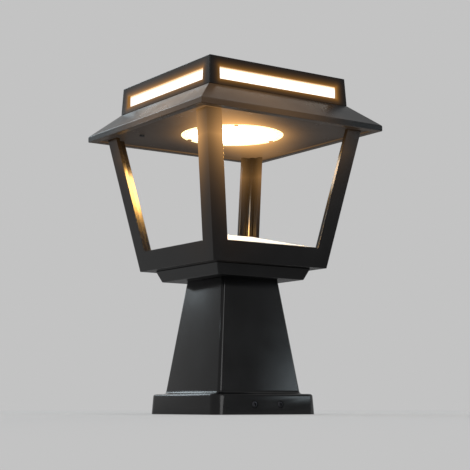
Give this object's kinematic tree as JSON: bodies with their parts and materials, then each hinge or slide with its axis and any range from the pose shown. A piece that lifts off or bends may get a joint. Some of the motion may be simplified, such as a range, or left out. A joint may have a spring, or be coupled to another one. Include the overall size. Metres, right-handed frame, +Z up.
{
  "type": "solar pedestal lantern",
  "caption": "Square garden lantern on a tapered pedestal, with raked open posts, a flared roof, a lit ceiling disc, lit roof slots and a solar panel on top.",
  "frame": {"origin": "centre of the foot, on the ground it stands on", "axes": "+Z up; the four sides face X and Y, and -Y is the side with the foot screws that the picture shows"},
  "size_m": [0.25, 0.25, 0.3887],
  "materials": {
    "coat": "satin",
    "plated_steel": "satin",
    "black_screws": "satin",
    "reflector_white": "matte",
    "opal": "satin",
    "rubber": "matte",
    "button_rubber": "matte",
    "heat_sink": "satin",
    "led_board_white": "satin",
    "led_chip": "gloss",
    "board_green": "satin",
    "tray_plastic": "matte",
    "cradle_plastic": "matte",
    "cell_wrap": "satin",
    "solar_silicon": "gloss",
    "panel_glass": "gloss",
    "lead_red": "satin",
    "lead_yellow": "satin"
  },
  "bodies": {
    "lantern": {"mounting_plate": "plated_steel", "foot_screws": "black_screws", "pedestal": "coat", "neck_collar": "coat", "neck_screws": "plated_steel", "lantern_frame": "coat", "floor_reflector": "reflector_white", "post_screws": "plated_steel", "roof_skirt": "coat", "ceiling_gasket": "rubber", "ceiling_plate": "coat", "ceiling_screws": "black_screws", "led_diffuser": "opal", "diffuser_screws": "black_screws", "lamp_dish": "heat_sink", "dish_screws": "plated_steel", "led_board": "led_board_white", "led_chips": "led_chip", "motion_sensor": "board_green", "switch_board": "board_green", "roof_box": "coat", "box_screws": "plated_steel", "slot_diffuser_front": "opal", "slot_diffuser_right": "opal", "slot_diffuser_back": "opal", "slot_diffuser_left": "opal", "slot_strip_front": "led_board_white", "slot_strip_right": "led_board_white", "slot_strip_back": "led_board_white", "slot_strip_left": "led_board_white", "electronics_tray": "tray_plastic", "tray_screws": "plated_steel", "battery_cradle": "cradle_plastic", "battery_cells": "cell_wrap", "control_board": "board_green", "panel_gasket": "rubber", "panel_board": "tray_plastic", "solar_cells": "solar_silicon", "solar_glass": "panel_glass", "panel_lead": "lead_red", "battery_lead": "lead_red", "lamp_lead": "lead_yellow", "switch_lead": "lead_yellow"},
    "button": {"mode_button": "button_rubber"}
  },
  "joints": [
    {"name": "button_press", "type": "slide", "parent": "lantern", "child": "button", "axis": [0, 0, 1], "range_m": [0, 0.0015], "stiffness_N_per_m": 1500}
  ]
}
